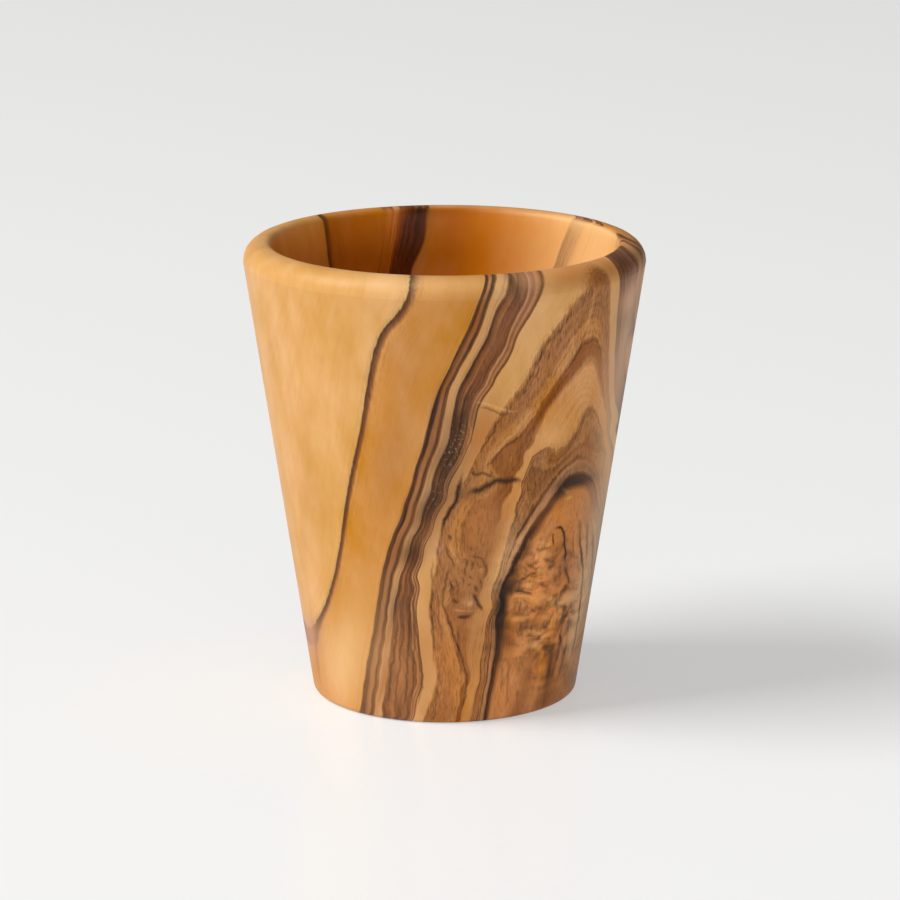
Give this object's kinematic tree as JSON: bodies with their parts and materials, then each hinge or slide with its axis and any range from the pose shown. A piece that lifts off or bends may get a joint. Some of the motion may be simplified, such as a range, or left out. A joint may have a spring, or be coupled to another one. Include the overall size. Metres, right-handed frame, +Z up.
{
  "type": "wooden shot glass",
  "caption": "Small flared drinking cup turned from a single piece of olive wood, with a rounded lip, a conical bore with a rounded floor corner, and a flat base.",
  "frame": {"origin": "centre of the flat base, on the surface that the cup stands on", "axes": "+Z up along the turning axis, out of the mouth; -Y is the side that faces the camera in the picture"},
  "size_m": [0.052, 0.052, 0.06],
  "materials": {
    "olive_wood": "turned, sanded and oiled to a satin sheen"
  },
  "bodies": {
    "root": {"turned_cup": "olive_wood"}
  },
  "joints": []
}
